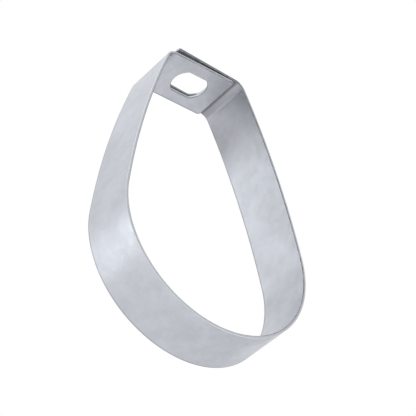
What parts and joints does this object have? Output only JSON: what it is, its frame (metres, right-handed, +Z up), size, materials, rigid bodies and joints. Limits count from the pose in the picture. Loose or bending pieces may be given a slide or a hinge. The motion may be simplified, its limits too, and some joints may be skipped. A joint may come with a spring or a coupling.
{
  "type": "pear-shaped pipe hanger band",
  "caption": "Pear-shaped pipe hanger band bent from galvanised steel strip, with overlapping slotted tabs at the top for a hanger rod.",
  "frame": {"origin": "centre of the carried pipe, at mid width of the strip", "axes": "+X along the pipe, +Y along the tabs, +Z up along the hanger rod as the band hangs"},
  "size_m": [0.0254, 0.0924, 0.143],
  "materials": {
    "galvanised_steel": "hot-dip galvanised, satin, faint fine spangle"
  },
  "bodies": {
    "root": {"band": "galvanised_steel"}
  },
  "joints": []
}
